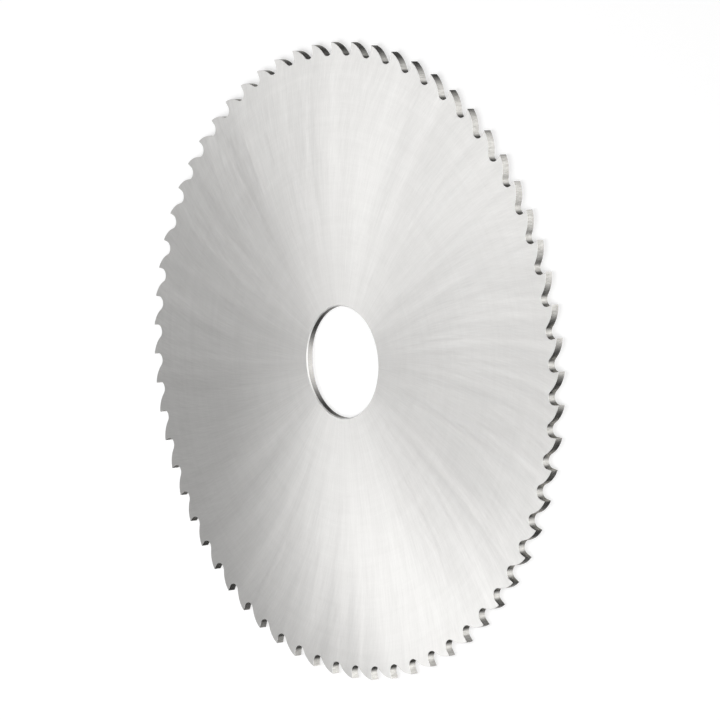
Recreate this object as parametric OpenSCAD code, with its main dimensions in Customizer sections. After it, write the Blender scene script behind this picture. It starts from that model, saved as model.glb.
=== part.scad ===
// Slitting saw: a thin ground disc with a plain bore and coarse curved teeth.
// It lies flat on the XY plane with its axis on Z. The teeth point
// counter-clockwise seen from above, and one tooth tip lies on the +X axis.

/* [Blade] */
// Diameter over the tooth tips
outer_diameter = 125; // [100:1:200]
// Thickness at the teeth, which is the width of the slot that is cut
blade_width = 1.6; // [0.8:0.1:4]
// How much lower each side is ground at the hub than at the teeth
side_relief = 0.05; // [0:0.01:0.2]
// Diameter of the flat hub that the arbor flanges clamp
hub_diameter = 40; // [30:1:60]

/* [Bore] */
// Diameter of the arbor bore
bore_diameter = 22; // [13:0.5:27]
// Chamfer at both ends of the bore
bore_chamfer = 0.2; // [0.05:0.05:0.3]

/* [Teeth] */
// Number of teeth
tooth_count = 64; // [40:1:80]
// Height from the gullet bottom to the tooth tip
tooth_depth = 2.7; // [2.2:0.1:4]
// Radius of the gullet between two teeth
gullet_radius = 1.4; // [0.8:0.05:1.6]
// Lean of the cutting face behind a radius through the tip
rake_angle = 7; // [0:1:20]
// Fall of the tooth back behind the cutting edge
relief_angle = 11; // [5:1:20]
// Narrow land left at the diameter of the tips
tip_land = 0.1; // [0.05:0.05:0.4]
// Full-thickness band under the gullets, where the side relief starts
rim_band = 2; // [0.5:0.5:6]

/* [Hidden] */

steel = [0.78, 0.77, 0.75];
blank_sides = 256;
gap_sides = 96;
// How far the gap cutters reach past the blank
cut_overlap = 2;
// How far the gullet circle runs into the cutting face and the tooth back
blend_overlap = 0.005;

tip_r = outer_diameter / 2;
bore_r = bore_diameter / 2;
hub_r = hub_diameter / 2;
root_r = tip_r - tooth_depth;
rim_r = root_r - rim_band;
hub_low = side_relief;
hub_high = blade_width - side_relief;

pitch_angle = 360 / tooth_count;
land_angle = tip_land / tip_r * 180 / PI;
heel_angle = pitch_angle - land_angle;

function polar(r, a) = r * [cos(a), sin(a)];

// The cutting face runs inward from the tip and ends on the gullet circle.
tip = polar(tip_r, 0);
gullet_reach = gullet_radius - blend_overlap;
gullet_centre_r = root_r + gullet_radius;
rake_offset = tip_r * sin(rake_angle) - gullet_reach;
rake_length = tip_r * cos(rake_angle) - sqrt(pow(gullet_centre_r, 2) - pow(rake_offset, 2));
rake_foot = tip - polar(rake_length, rake_angle);
gullet_centre = rake_foot + polar(gullet_reach, rake_angle + 90);

// The back of the next tooth is one arc. It leaves the land at the relief angle and
// runs smoothly into the gullet circle, which fixes its radius.
heel = polar(tip_r, heel_angle);
back_axis = polar(1, heel_angle - relief_angle);
gap_span = heel - gullet_centre;
back_radius = (gap_span * gap_span - pow(gullet_reach, 2)) / (2 * (gullet_reach + gap_span * back_axis));
back_centre = heel - back_radius * back_axis;
centre_line = (back_centre - gullet_centre) / (gullet_reach + back_radius);
blend_point = gullet_centre + centre_line * (gullet_reach + blend_overlap / 2);

// Half section of the blank: bore, chamfers, hub, hollow-ground sides and rim
module blank_section() {
    polygon([
        [bore_r, hub_low + bore_chamfer],
        [bore_r + bore_chamfer, hub_low],
        [hub_r, hub_low],
        [rim_r, 0],
        [tip_r, 0],
        [tip_r, blade_width],
        [rim_r, blade_width],
        [hub_r, hub_high],
        [bore_r + bore_chamfer, hub_high],
        [bore_r, hub_high - bore_chamfer],
    ]);
}

// Outline of one gap, from the cutting face at the tip to the back of the next tooth
module tooth_gap() {
    mid_land_angle = pitch_angle - land_angle / 2;
    translate(gullet_centre) circle(r = gullet_radius, $fn = gap_sides);
    difference() {
        polygon([
            tip + polar(cut_overlap, rake_angle),
            rake_foot,
            gullet_centre,
            blend_point,
            polar(root_r, mid_land_angle),
            polar(tip_r + cut_overlap, mid_land_angle),
        ]);
        translate(back_centre) circle(r = back_radius, $fn = gap_sides);
    }
}

module saw_blade() {
    color(steel)
    difference() {
        rotate_extrude($fn = blank_sides) blank_section();
        for (k = [0 : tooth_count - 1])
            rotate(k * pitch_angle)
            translate([0, 0, -cut_overlap])
            linear_extrude(blade_width + 2 * cut_overlap)
            tooth_gap();
    }
}

saw_blade();
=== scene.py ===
import math
from collections import namedtuple

import bmesh
import bpy
from mathutils import Matrix, Vector


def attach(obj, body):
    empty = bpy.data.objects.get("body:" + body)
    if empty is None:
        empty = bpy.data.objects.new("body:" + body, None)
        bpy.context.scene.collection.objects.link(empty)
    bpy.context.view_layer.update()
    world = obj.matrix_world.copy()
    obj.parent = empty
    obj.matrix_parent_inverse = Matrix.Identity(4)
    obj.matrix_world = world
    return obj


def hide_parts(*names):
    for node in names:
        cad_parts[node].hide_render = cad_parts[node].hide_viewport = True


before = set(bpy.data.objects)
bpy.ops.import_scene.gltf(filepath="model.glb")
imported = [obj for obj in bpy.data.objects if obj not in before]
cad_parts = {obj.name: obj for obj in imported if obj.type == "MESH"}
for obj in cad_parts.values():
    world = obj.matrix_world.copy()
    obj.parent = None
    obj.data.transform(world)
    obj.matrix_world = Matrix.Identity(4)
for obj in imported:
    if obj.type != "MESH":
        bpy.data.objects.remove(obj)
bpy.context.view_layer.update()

MM = 0.001

# Camera, fitted to the photograph: it looks down on the saw from the +X side, turned on its side
CAMERA_TARGET = Vector((5.75, 0.02, 1.6)) * MM
CAMERA_DISTANCE = 649.2 * MM
CAMERA_AZIMUTH = -0.918
CAMERA_ELEVATION = 39.107
CAMERA_ROLL = 94.904
CAMERA_LENS = 166.88
CAMERA_CLIP = (0.01, 100.0)
SENSOR = 36.0

# Reading the CAD mesh: points closer than this are one point
MERGE = 0.0001 * MM
# Radii and heights are rounded to this many digits of a metre, to find the rings
RING_DIGITS = 6
# A face is a side if its normal is this close to upright, and a wall if it is this close to level
SIDE_NORMAL_Z = 0.9
WALL_NORMAL_Z = 0.1
# Points where the outline turns less than this lie on a straight run
STRAIGHT_TURN = math.radians(1.0)

# Width of the break that handling leaves on the edges of the teeth
EDGE_BREAK = 0.03 * MM
# The rings under the teeth are turned back by this, so that the faces between them don't overlap
RING_LAG = math.radians(1.75)
# Edges sharper than this are shaded as edges
SHARP_EDGE = math.radians(30.0)

# Most of a noise lies between these values
NOISE_RANGE = (0.3, 0.7)
# Places of the colour sockets on a Mix node
MIX_DARK, MIX_LIGHT, MIX_RESULT = 6, 7, 2

# The grinding lines on the sides turn back by this many radians for each square metre of radius squared
LINE_BEND = 44.0
# How fast a line changes along its length
LINE_FADE = 1.2
# Grain of the sides, with painted glints among it, coarse to fine: the share of the bend that it follows,
# a shift that sets it apart from the others, and the scale, detail and roughness of its noise
Grain = namedtuple("Grain", "bend shift scale detail roughness")
SIDE_GRAIN = {
    "fans": Grain(0.5, 2.0, 7.0, 5.0, 0.72),
    # The glints are painted highlight: bright streaks in the colour along the grinding lines, standing in
    # for lines that mirror the lamps
    "painted_glints": Grain(0.4, 4.5, 9.0, 5.0, 0.72),
    "streaks": Grain(0.6, 0.0, 24.0, 5.0, 0.75),
    "crossing": Grain(1.6, 0.0, 75.0, 3.0, 0.75),
    "lines": Grain(0.8, 0.0, 190.0, 4.0, 0.7),
    "hairs": Grain(0.5, 0.0, 520.0, 2.0, 0.6),
}
# Faint rings that the wheel's feed leaves: how much they change round the saw, how many there are to a
# metre of radius, and their noise
RING_CHANGE = 2.0
RING_DENSITY = 700.0
RING_NOISE = (1.0, 4.0, 0.8)
# How much each grain counts in the tone of the steel; the glints in it are painted highlight
SIDE_TONE = {"painted_glints": 0.2, "streaks": 0.24, "crossing": 0.16, "lines": 0.24, "rings": 0.16}
# How far the scratches lean either way: from fan to fan and from line to line, and at random near the
# bore, where it lessens to nothing over a range of radius
FAN_WAVER = 0.12
LINE_WAVER = 0.13
HUB_WAVER = 0.95
HUB_RANGE = (11.0 * MM, 45.0 * MM)
SIDE_METALLIC = 0.72
SIDE_COLOURS = ((0.535, 0.529, 0.518), (0.745, 0.739, 0.726))
SIDE_ROUGHNESS = (0.34, 0.43)
SIDE_BUMP = 0.0015 * MM

# The shading of the walls leans up by this
WALL_LEAN = math.radians(38.0)
WALL_BUMP = 0.002 * MM
# Noises of the walls and edges: scale, detail and roughness
TOOTH_MARKS = (2500.0, 3.0, 0.6)
TOOTH_PATCHES = (420.0, 3.0, 0.5)
BORE_MARKS = (1.0, 3.0, 0.6)
BORE_PATCHES = (300.0, 3.0, 0.5)
EDGE_WEAR_AND_HIGHLIGHT = (900.0, 3.0, 0.6)
# The marks on the teeth are drawn out along the axis, and those in the bore round it
TOOTH_MARK_STRETCH = 0.25
BORE_MARK_SCALES = (60.0, 60.0, 6000.0)
# How much marks and patches count in the tone of the teeth
TOOTH_TONE = (0.6, 0.4)
# The teeth and the bore are darker in colour than the steel of the sides: painted shade, standing in for
# dark surroundings that upright walls would mirror. Their marks and patches are the steel's own grain.
TOOTH_SHADED_COLOURS = ((0.31, 0.303, 0.286), (0.59, 0.58, 0.555))
TOOTH_ROUGHNESS = (0.14, 0.21)
# The bore's darkness against the sides is painted shade as well
BORE_SHADED_COLOURS = ((0.34, 0.332, 0.32), (0.48, 0.472, 0.455))
BORE_ROUGHNESS = (0.15, 0.21)
# The edges' colour is a painted highlight: brighter than the steel, so that chamfers and broken edges
# show as bright lines
EDGE_HIGHLIGHT_COLOURS = ((0.80, 0.795, 0.785), (0.95, 0.945, 0.935))
EDGE_ROUGHNESS = (0.5, 0.65)
EDGE_BUMP = 0.004 * MM

FLOOR_SIZE = 6.0
FLOOR_DROP = 0.05 * MM
FLOOR_ROUGHNESS = 0.9
# What the floor reflects, and what it adds to make the background white where it is seen
FLOOR_ALBEDO = 0.75
FLOOR_GLOW = 0.32
WHITE = (1.0, 1.0, 1.0, 1.0)

# Light from all round, and patches of light on the world: level at the centre, direction of the centre
# in degrees, cosines from the centre between which it grows, and the power it grows by. A level of 1
# looks white.
FILL_LEVEL = 0.08
Patch = namedtuple("Patch", "level azimuth elevation start end power")
WALL_PATCH = Patch(0.28, 180.0, 0.0, 0.2, 0.75, 1.0)
FRONT_PATCH = Patch(1.62, 5.0, 33.0, 0.3, 1.0, 2.0)
# Lamps: places and sizes in metres, and levels as above
KEY_AZIMUTH = 180.0
KEY_DISTANCE = 0.4
KEY_WIDTH = 0.3
KEY_HEIGHT = 0.35
KEY_LEVEL = 1.95
OVERHEAD_PLACE = Vector((0.033, -0.08, 0.25))
OVERHEAD_SIZE = (0.46, 0.235)
OVERHEAD_LEVEL = 0.96


def add_object(name, data):
    piece = bpy.data.objects.new(name, data)
    bpy.context.scene.collection.objects.link(piece)
    return piece


def from_centre(azimuth, elevation, distance):
    """The point at that distance from the origin, in the direction given in degrees."""
    az, el = math.radians(azimuth), math.radians(elevation)
    return Vector((math.cos(az) * math.cos(el), math.sin(az) * math.cos(el), math.sin(el))) * distance


def make_camera():
    back = from_centre(CAMERA_AZIMUTH, CAMERA_ELEVATION, 1.0)
    data = bpy.data.cameras.new("camera")
    data.lens = CAMERA_LENS
    data.sensor_width = SENSOR
    data.clip_start, data.clip_end = CAMERA_CLIP
    camera = add_object("camera", data)
    upright = (-back).to_track_quat("-Z", "Y").to_matrix()
    turned = upright @ Matrix.Rotation(-math.radians(CAMERA_ROLL), 3, "Z")
    camera.matrix_world = Matrix.LocRotScale(CAMERA_TARGET + back * CAMERA_DISTANCE, turned, None)
    bpy.context.scene.camera = camera


# Shape: the saw is one closed skin, lofted through loops that all have as many points as the outline

def read_blade(node):
    """The outline of the teeth, the rings (radius, height) inside it, and the height of the upper side.

    The outline runs counter-clockwise from the tip on +X.
    """
    skin = bmesh.new()
    skin.from_mesh(node.data)
    bmesh.ops.remove_doubles(skin, verts=skin.verts, dist=MERGE)
    top = max(v.co.z for v in skin.verts)
    following = {}
    for face in skin.faces:
        if face.normal.z < SIDE_NORMAL_Z:
            continue
        for corner in face.loops:
            across = corner.link_loop_radial_next.face
            at_top = min(v.co.z for v in corner.edge.verts) > top - MERGE
            if at_top and abs(across.normal.z) < WALL_NORMAL_Z:
                following[corner.vert] = corner.link_loop_next.vert
    first = max(following, key=lambda v: v.co.x)
    walk = [first]
    while following[walk[-1]] is not first:
        walk.append(following[walk[-1]])
    outline = [v.co.xy for v in walk]
    root = min(p.length for p in outline)
    rings = set()
    for v in skin.verts:
        radius = v.co.xy.length
        if radius < root - MERGE:
            rings.add((round(radius, RING_DIGITS), round(v.co.z, RING_DIGITS)))
    skin.free()
    corners = [p for k, p in enumerate(outline) if turn_at(outline, k) > STRAIGHT_TURN]
    return corners, sorted(rings), top


def turn_at(loop, k):
    before = loop[k] - loop[k - 1]
    after = loop[(k + 1) % len(loop)] - loop[k]
    return before.angle(after)


def inset(loop, depth):
    """The same loop, moved inward by depth, with mitred corners."""
    moved = []
    for k, point in enumerate(loop):
        before = (point - loop[k - 1]).normalized()
        after = (loop[(k + 1) % len(loop)] - point).normalized()
        inward = Vector((-before.y, before.x)) + Vector((-after.y, after.x))
        moved.append(point + inward * depth / (1.0 + before.dot(after)))
    return moved


def ring_loop(radius, count):
    angles = [math.tau * k / count - RING_LAG for k in range(count)]
    return [Vector((math.cos(a), math.sin(a))) * radius for a in angles]


def make_blade(node, materials):
    outline, rings, top = read_blade(node)
    count = len(outline)
    upper = [r for r in rings if r[1] > top / 2]
    lower = [r for r in reversed(rings) if r[1] < top / 2]
    broken = inset(outline, EDGE_BREAK)

    # Each loop is (points, height, material of the band that follows it), round the section
    loops = []
    for radius, height in upper:
        loops.append((ring_loop(radius, count), height, "side"))
    loops[0] = (*loops[0][:2], "edge")
    loops.append((broken, top, "edge"))
    loops.append((outline, top - EDGE_BREAK, "tooth"))
    loops.append((outline, EDGE_BREAK, "edge"))
    loops.append((broken, 0.0, "side"))
    for radius, height in lower:
        loops.append((ring_loop(radius, count), height, "side"))
    loops[-2] = (*loops[-2][:2], "edge")
    loops[-1] = (*loops[-1][:2], "bore")

    points = [(p.x, p.y, height) for loop, height, _ in loops for p in loop]
    faces, bands = [], []
    for j, (_, _, band) in enumerate(loops):
        near, far = j * count, (j + 1) % len(loops) * count
        for k in range(count):
            following = (k + 1) % count
            faces.append((near + k, far + k, far + following, near + following))
            bands.append(list(materials).index(band))
    mesh = bpy.data.meshes.new("slitting_saw")
    mesh.from_pydata(points, [], faces)
    for material in materials.values():
        mesh.materials.append(material)
    mesh.polygons.foreach_set("material_index", bands)
    mesh.polygons.foreach_set("use_smooth", [True] * len(faces))
    mesh.set_sharp_from_angle(angle=SHARP_EDGE)

    # Distance along the outline, which the finish of the tooth walls follows
    travelled = [0.0]
    for k in range(1, count):
        travelled.append(travelled[-1] + (outline[k] - outline[k - 1]).length)
    run = mesh.attributes.new("run", "FLOAT", "POINT")
    run.data.foreach_set("value", travelled * len(loops))
    mesh.validate()
    return add_object("slitting_saw", mesh)


# Materials

class Shader:
    """The nodes of one material, or of the world: adds them and joins them."""

    def __init__(self, owner, last="Principled BSDF"):
        owner.use_nodes = True
        self.owner = owner
        self.tree = owner.node_tree
        self.last = self.tree.nodes[last]

    def join(self, socket, value):
        if isinstance(value, bpy.types.NodeSocket):
            self.tree.links.new(value, socket)
        else:
            socket.default_value = value

    def add(self, kind, inputs, output=0, **settings):
        made = self.tree.nodes.new("ShaderNode" + kind)
        for name, value in settings.items():
            setattr(made, name, value)
        for name, value in inputs.items():
            self.join(made.inputs[name], value)
        return made.outputs[output]

    def math(self, operation, a, b=0.0, c=0.0):
        return self.add("Math", {0: a, 1: b, 2: c}, operation=operation)

    def weighted(self, *terms):
        total = 0.0
        for value, weight in terms:
            total = self.math("MULTIPLY_ADD", value, weight, total)
        return total

    def vector(self, operation, a, b=(0.0, 0.0, 0.0)):
        return self.add("VectorMath", {0: a, 1: b}, operation=operation)

    def scaled(self, a, factor):
        return self.add("VectorMath", {0: a, "Scale": factor}, operation="SCALE")

    def noise(self, place, scale, detail, roughness):
        inputs = {"Vector": place, "Scale": scale, "Detail": detail, "Roughness": roughness}
        return self.add("TexNoise", inputs)

    def between(self, value, low, high, start=NOISE_RANGE[0], end=NOISE_RANGE[1]):
        """low to high as value, mostly a noise, runs from start to end."""
        inputs = {"Value": value, "From Min": start, "From Max": end, "To Min": low, "To Max": high}
        return self.add("MapRange", inputs)

    def tint(self, value, dark, light):
        """A colour from dark to light as value, a noise, runs over its range."""
        mixed = self.tree.nodes.new("ShaderNodeMix")
        mixed.data_type = "RGBA"
        self.join(mixed.inputs["Factor"], self.between(value, 0.0, 1.0))
        mixed.inputs[MIX_DARK].default_value = (*dark, 1.0)
        mixed.inputs[MIX_LIGHT].default_value = (*light, 1.0)
        return mixed.outputs[MIX_RESULT]

    def bump(self, height, depth, **normal):
        return self.add("Bump", {"Height": height, "Strength": 1.0, "Distance": depth, **normal})

    def finish(self, sockets):
        for name, value in sockets.items():
            self.join(self.last.inputs[name], value)
        return self.owner


def side_steel():
    """Ground steel whose fine lines run from the bore to the rim in shallow arcs."""
    s = Shader(bpy.data.materials.new("ground_side"))
    place = s.add("TexCoord", {}, "Object")
    flat = s.vector("MULTIPLY", place, (1.0, 1.0, 0.0))
    radius = s.add("VectorMath", {0: flat}, "Value", operation="LENGTH")
    outward = s.vector("NORMALIZE", flat)
    around = s.vector("CROSS_PRODUCT", (0.0, 0.0, 1.0), outward)
    bend = s.math("MULTIPLY", s.math("MULTIPLY", radius, radius), LINE_BEND)

    # Each grain's place is nearly the same all along a grinding line
    grains = {}
    for name, grain in SIDE_GRAIN.items():
        turned = {"Vector": outward, "Angle": s.math("MULTIPLY", bend, grain.bend)}
        line = s.add("VectorRotate", turned, rotation_type="Z_AXIS")
        along = s.add("CombineXYZ", {"Z": s.math("MULTIPLY_ADD", radius, LINE_FADE, grain.shift)})
        line_place = s.vector("ADD", line, along)
        grains[name] = s.noise(line_place, grain.scale, grain.detail, grain.roughness)
    ring_height = s.add("CombineXYZ", {"Z": s.math("MULTIPLY", radius, RING_DENSITY)})
    ring_place = s.vector("ADD", s.scaled(outward, RING_CHANGE), ring_height)
    grains["rings"] = s.noise(ring_place, *RING_NOISE)

    # Scratches lean a little from line to line, so neighbouring lines catch the light differently. Near
    # the bore, where they crowd, they cross at wider angles.
    spread = s.between(radius, HUB_WAVER, 0.0, *HUB_RANGE)
    scatter = s.add("TexWhiteNoise", {"Vector": place})
    waver = s.math("MULTIPLY", s.between(scatter, -1.0, 1.0, 0.0, 1.0), spread)
    for name, most in (("fans", FAN_WAVER), ("lines", LINE_WAVER)):
        waver = s.math("ADD", waver, s.between(grains[name], -most, most))

    # A line that turns with the square of the radius leans by twice its turn. The sheen spreads along
    # the tangent, which lies across the scratches.
    lean = s.math("MULTIPLY_ADD", bend, 2.0, waver)
    tangent = s.vector("ADD", around, s.scaled(outward, lean))
    # Besides the steel's own grain, the tone carries the painted highlight of the glints
    tone = s.weighted(*[(grains[name], weight) for name, weight in SIDE_TONE.items()])
    return s.finish({
        "Metallic": SIDE_METALLIC,
        "Base Color": s.tint(tone, *SIDE_COLOURS),
        "Roughness": s.between(grains["streaks"], *SIDE_ROUGHNESS),
        "Anisotropic": 1.0,
        "Tangent": tangent,
        "Normal": s.bump(s.math("ADD", grains["lines"], grains["hairs"]), SIDE_BUMP),
    })


def finish_wall(s, marks, colour, roughness):
    """Steel of an upright wall. It leans up in its shading, to mirror more than the floor at its foot."""
    own = s.add("NewGeometry", {}, "Normal")
    leaning = s.vector("NORMALIZE", s.vector("ADD", own, (0.0, 0.0, math.tan(WALL_LEAN))))
    return s.finish({
        "Metallic": 1.0,
        "Base Color": colour,
        "Roughness": roughness,
        "Anisotropic": 1.0,
        "Tangent": s.add("CombineXYZ", {"Z": 1.0}),
        "Normal": s.bump(marks, WALL_BUMP, Normal=leaning),
    })


def tooth_steel():
    """Walls of the teeth, with marks across the outline."""
    s = Shader(bpy.data.materials.new("ground_tooth"))
    place = s.add("TexCoord", {}, "Object")
    run = s.add("Attribute", {}, "Fac", attribute_name="run")
    height = s.add("SeparateXYZ", {0: place}, "Z")
    wall = s.add("CombineXYZ", {"X": run, "Y": s.math("MULTIPLY", height, TOOTH_MARK_STRETCH)})
    marks = s.noise(wall, *TOOTH_MARKS)
    patches = s.noise(place, *TOOTH_PATCHES)
    tone = s.weighted(*zip((marks, patches), TOOTH_TONE))
    # The dark tint is painted shade; its marks and patches are grain
    return finish_wall(s, marks, s.tint(tone, *TOOTH_SHADED_COLOURS), s.between(patches, *TOOTH_ROUGHNESS))


def bore_steel():
    """Wall of the bore, finished round the axis."""
    s = Shader(bpy.data.materials.new("ground_bore"))
    place = s.add("TexCoord", {}, "Object")
    marks = s.noise(s.vector("MULTIPLY", place, BORE_MARK_SCALES), *BORE_MARKS)
    patches = s.noise(place, *BORE_PATCHES)
    # The dark tint is painted shade; its patches are grain
    return finish_wall(s, marks, s.tint(patches, *BORE_SHADED_COLOURS), s.between(marks, *BORE_ROUGHNESS))


def edge_steel():
    """Chamfers of the bore and broken edges of the teeth: matt, with a painted highlight that makes them
    brighter than the steel so that they show as bright lines.
    """
    s = Shader(bpy.data.materials.new("edge_painted_highlight"))
    wear_and_highlight = s.noise(s.add("TexCoord", {}, "Object"), *EDGE_WEAR_AND_HIGHLIGHT)
    return s.finish({
        "Metallic": 1.0,
        # The bright tint is painted highlight; the noise in it varies at random like wear
        "Base Color": s.tint(wear_and_highlight, *EDGE_HIGHLIGHT_COLOURS),
        "Roughness": s.between(wear_and_highlight, *EDGE_ROUGHNESS),
        "Normal": s.bump(wear_and_highlight, EDGE_BUMP),
    })


# Studio

def make_floor():
    half = FLOOR_SIZE / 2
    corners = [(-half, -half), (half, -half), (half, half), (-half, half)]
    mesh = bpy.data.meshes.new("floor")
    mesh.from_pydata([(x, y, -FLOOR_DROP) for x, y in corners], [], [(0, 1, 2, 3)])
    s = Shader(bpy.data.materials.new("floor"))
    rays = s.tree.nodes.new("ShaderNodeLightPath").outputs
    mirrored = s.math("MAXIMUM", rays["Is Glossy Ray"], rays["Is Transmission Ray"])
    seen = s.math("MAXIMUM", rays["Is Camera Ray"], mirrored)
    mesh.materials.append(s.finish({
        "Base Color": (FLOOR_ALBEDO, FLOOR_ALBEDO, FLOOR_ALBEDO, 1.0),
        "Roughness": FLOOR_ROUGHNESS,
        "Specular IOR Level": 0.0,
        "Emission Color": WHITE,
        "Emission Strength": s.math("MULTIPLY", seen, FLOOR_GLOW),
    }))
    add_object("floor", mesh)


def softbox(name, place, facing, width, height, level):
    """A soft rectangular lamp of even brightness level."""
    data = bpy.data.lights.new(name, "AREA")
    data.shape = "RECTANGLE"
    data.size = width
    data.size_y = height
    data.energy = level * math.pi * width * height
    lamp = add_object(name, data)
    lamp.matrix_world = Matrix.LocRotScale(place, facing.to_track_quat("-Z", "Y").to_matrix(), None)


def make_world():
    """Faint light from all round, with a brighter wall behind the saw and a soft patch in front of it."""
    s = Shader(bpy.data.worlds.new("studio"), "Background")
    direction = s.add("TexCoord", {}, "Generated")
    total = FILL_LEVEL
    for patch in (WALL_PATCH, FRONT_PATCH):
        centre = from_centre(patch.azimuth, patch.elevation, 1.0)
        nearness = s.add("VectorMath", {0: direction, 1: centre}, "Value", operation="DOT_PRODUCT")
        share = s.math("POWER", s.between(nearness, 0.0, 1.0, patch.start, patch.end), patch.power)
        total = s.math("MULTIPLY_ADD", share, patch.level, total)
    bpy.context.scene.world = s.finish({"Color": WHITE, "Strength": total})


def make_lamps():
    # The key stands where the saw's side mirrors it to the camera. Its lower edge is seen across the
    # middle of the saw, so the far half is darker.
    key_foot = from_centre(KEY_AZIMUTH, CAMERA_ELEVATION, KEY_DISTANCE)
    key_face = -key_foot.normalized()
    key_rise = key_face.cross(Vector((0.0, 1.0, 0.0)))
    key_place = key_foot + key_rise * KEY_HEIGHT / 2
    softbox("key", key_place, key_face, KEY_WIDTH, KEY_HEIGHT, KEY_LEVEL)
    softbox("overhead", OVERHEAD_PLACE, Vector((0.0, 0.0, -1.0)), *OVERHEAD_SIZE, OVERHEAD_LEVEL)


make_camera()
finishes = {"side": side_steel(), "tooth": tooth_steel(), "bore": bore_steel(), "edge": edge_steel()}
saw = make_blade(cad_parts["saw_blade"], finishes)
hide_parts("saw_blade")
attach(saw, "root")
make_floor()
make_world()
make_lamps()
bpy.context.scene.view_settings.view_transform = "Standard"
